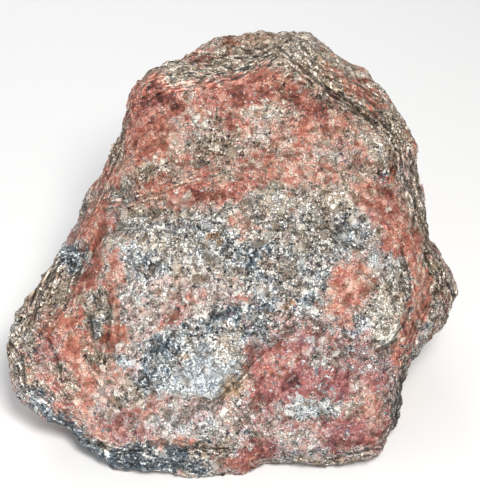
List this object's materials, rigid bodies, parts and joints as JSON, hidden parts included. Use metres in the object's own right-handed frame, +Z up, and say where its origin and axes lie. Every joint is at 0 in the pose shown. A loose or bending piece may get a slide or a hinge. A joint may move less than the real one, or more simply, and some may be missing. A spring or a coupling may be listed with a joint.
{
  "type": "rough rock",
  "caption": "Weathered granite boulder with a broad leaning face, worn facets, ledges and hollows, and a flat underside that it rests on.",
  "frame": {"origin": "on the ground, under the centre of the stone's bounding box", "axes": "+Z up; the broad leaning face looks towards -Y and up; +X to the right as seen from the front"},
  "size_m": [0.4422, 0.3818, 0.3259],
  "materials": {
    "granite": "rough, weathered, dry"
  },
  "bodies": {
    "root": {"rough_rock": "granite"}
  },
  "joints": []
}
